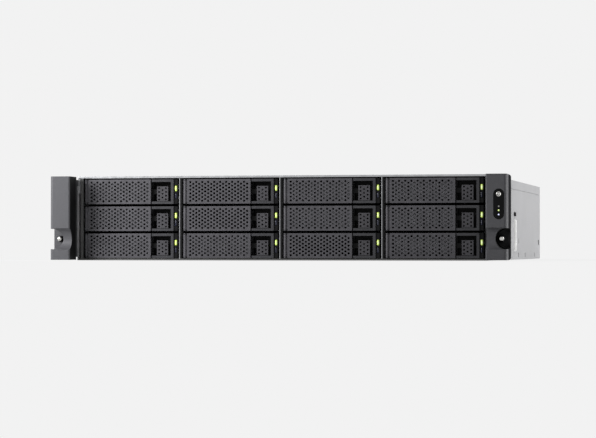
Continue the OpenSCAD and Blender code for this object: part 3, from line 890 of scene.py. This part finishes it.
class STORAGE_OT_stage(bpy.types.Operator):
    """Lay the floor and set the lights and the camera"""

    bl_idname = "storage.stage"
    bl_label = "Stage"

    def execute(self, context):
        build_stage(context.scene.storage_stage)
        return {"FINISHED"}


def aim(obj, target):
    """Turns an object so that its -Z axis points at a place."""
    obj.rotation_euler = (Vector(target) - obj.location).to_track_quat("-Z", "Y").to_euler()


def soft_box(name, where, target, size, power):
    """A soft rectangular lamp."""
    lamp = bpy.data.lights.new(name, "AREA")
    lamp.shape = "RECTANGLE"
    lamp.size, lamp.size_y = size
    lamp.energy = power
    obj = bpy.data.objects.new(name, lamp)
    bpy.context.collection.objects.link(obj)
    obj.location = where
    aim(obj, target)


def build_stage(settings):
    """Floor, world, lamps and camera."""
    build_floor(settings)
    build_world(settings)
    for name, where, target, size, power in LAMPS:
        soft_box(name, where, target, size, power * settings.light)
    build_camera(settings.lens)


def build_camera(lens):
    """A long lens low in front of the object, a little to its right."""
    data = bpy.data.cameras.new("camera")
    data.lens = lens
    data.sensor_width = 36
    data.shift_x = -0.1
    camera = bpy.data.objects.new("camera", data)
    bpy.context.collection.objects.link(camera)
    camera.location = (0.506, -2.468, 0.012)
    camera.rotation_euler = (math.radians(90) + 0.0135, 0, 0.188)
    bpy.context.scene.camera = camera


def seen_rays(owner):
    """A factor that is 1 for rays that see the backdrop plainly, and 0 for the light that it gives."""
    path = add_node(owner, "ShaderNodeLightPath")
    seen = path.outputs[PLAINLY_SEEN[0]]
    for kind in PLAINLY_SEEN[1:]:
        either = add_node(owner, "ShaderNodeMath", {"operation": "MAXIMUM"}, _0=seen, _1=path.outputs[kind])
        seen = either.outputs[0]
    return seen


def build_floor(settings):
    """Pale paper: it takes the object's shadow close by, and has the plain background colour farther off."""
    mesh = bmesh.new()
    bmesh.ops.create_grid(mesh, x_segments=1, y_segments=1, size=12)
    data = bpy.data.meshes.new("floor")
    mesh.to_mesh(data)
    mesh.free()
    floor = bpy.data.objects.new("floor", data)
    floor.location.z = -0.0005
    bpy.context.collection.objects.link(floor)
    paper = bpy.data.materials.new("backdrop_paper")
    paper.use_nodes = True
    paper.node_tree.nodes.clear()
    diffuse = add_node(paper, "ShaderNodeBsdfDiffuse", Color=linear("#e6e6e6"))
    glow = add_node(paper, "ShaderNodeEmission", Color=settings.background, Strength=1.0)
    away = add_node(paper, "ShaderNodeVectorMath", {"operation": "LENGTH"}, _0=place(paper)).outputs["Value"]
    plain = add_node(paper, "ShaderNodeMapRange", Value=away, From_Min=0.26, From_Max=0.45, To_Min=0.92,
                     To_Max=1.0)
    seen = seen_rays(paper)
    share = add_node(paper, "ShaderNodeMath", {"operation": "MULTIPLY"}, _0=seen, _1=plain.outputs[0])
    shader = add_node(paper, "ShaderNodeMixShader", _0=share.outputs[0], _1=diffuse.outputs[0],
                      _2=glow.outputs[0])
    add_node(paper, "ShaderNodeOutputMaterial", Surface=shader.outputs[0])
    data.materials.append(paper)


def build_world(settings):
    """A white room for the light, and the plain background colour where it's seen."""
    world = bpy.data.worlds.new("studio")
    bpy.context.scene.world = world
    world.use_nodes = True
    world.node_tree.nodes.clear()
    room = add_node(world, "ShaderNodeBackground", Color=linear("#ffffff"), Strength=0.17)
    backdrop = add_node(world, "ShaderNodeBackground", Color=settings.background, Strength=1.0)
    seen = seen_rays(world)
    shader = add_node(world, "ShaderNodeMixShader", _0=seen, _1=room.outputs[0], _2=backdrop.outputs[0])
    add_node(world, "ShaderNodeOutputWorld", Surface=shader.outputs[0])


# Properties, panel and registration


def colour_property(name, description, hex_colour):
    """A colour that a user would change."""
    return FloatVectorProperty(name=name, description=description, subtype="COLOR", size=4, min=0, max=1,
                               default=linear(hex_colour))


def length_property(name, description, default, high):
    """A small length in millimetres that a user would change."""
    return FloatProperty(name=name, description=description + ", in millimetres", default=default, min=0.05,
                         max=high)


class StorageLooks(bpy.types.PropertyGroup):
    """Colours and small sizes of the object"""

    case: colour_property("Case", "Powder coat of the case, its cover and the rear panel", "#bdbdbf")
    ear: colour_property("Ears", "Lacquer of the rack ears", "#525255")
    lever: colour_property("Levers", "Plastic of the tray levers", "#4e4d51")
    bezel: colour_property("Bezels", "Plastic of the tray bezels", "#3c3c3f")
    light: colour_property("Lights", "Colour of the lit status lights", "#c8e63c")
    catch: colour_property("Catches", "Plastic of the power modules' catches", "#2f8f57")
    glow: FloatProperty(name="Glow", description="Strength of the lit status lights", default=0.62, min=0,
                        max=20)
    edge: length_property("Moulded edge", "Rounding of the plastic edges", 0.25, 0.4)
    fold: length_property("Sheet edge", "Rounding of the sheet steel edges", 0.3, 0.5)
    indicator: length_property("Indicator", "Diameter of the lights in the window", 2.0, 3.5)
    knurls: IntProperty(name="Knurls", description="Grooves around a captive screw's collar", default=30, min=8,
                        max=60)


class StorageStage(bpy.types.PropertyGroup):
    """Background, light and camera"""

    background: colour_property("Background", "Colour of the floor and the background", "#f2f2f2")
    light: FloatProperty(name="Light", description="Strength of all the lamps", default=1.0, min=0, max=5)
    lens: FloatProperty(name="Lens", description="Focal length of the camera, in millimetres", default=133.3,
                        min=20, max=400)


OPERATORS = (STORAGE_OT_case, STORAGE_OT_cage, STORAGE_OT_inside, STORAGE_OT_power_modules, STORAGE_OT_trays,
             STORAGE_OT_levers, STORAGE_OT_ears, STORAGE_OT_front_panel, STORAGE_OT_stage)


class STORAGE_PT_panel(bpy.types.Panel):
    """Lists the operators and their settings"""

    bl_label = "Rack storage server"
    bl_idname = "STORAGE_PT_panel"
    bl_space_type = "VIEW_3D"
    bl_region_type = "UI"
    bl_category = "Storage"

    def draw(self, context):
        for operator in OPERATORS:
            self.layout.operator(operator.bl_idname)
        for group in (context.scene.storage_looks, context.scene.storage_stage):
            for name in group.bl_rna.properties.keys():
                if name not in ("rna_type", "name"):
                    self.layout.prop(group, name)


CLASSES = (StorageLooks, StorageStage) + OPERATORS + (STORAGE_PT_panel,)


def register():
    for made in CLASSES:
        bpy.utils.register_class(made)
    bpy.types.Scene.storage_looks = PointerProperty(type=StorageLooks)
    bpy.types.Scene.storage_stage = PointerProperty(type=StorageStage)


def unregister():
    del bpy.types.Scene.storage_stage
    del bpy.types.Scene.storage_looks
    for made in reversed(CLASSES):
        bpy.utils.unregister_class(made)


def main():
    register()
    bpy.context.scene.view_settings.view_transform = "Standard"
    for operator in OPERATORS:
        group, name = operator.bl_idname.split(".")
        getattr(getattr(bpy.ops, group), name)()


if __name__ == "__main__":
    main()
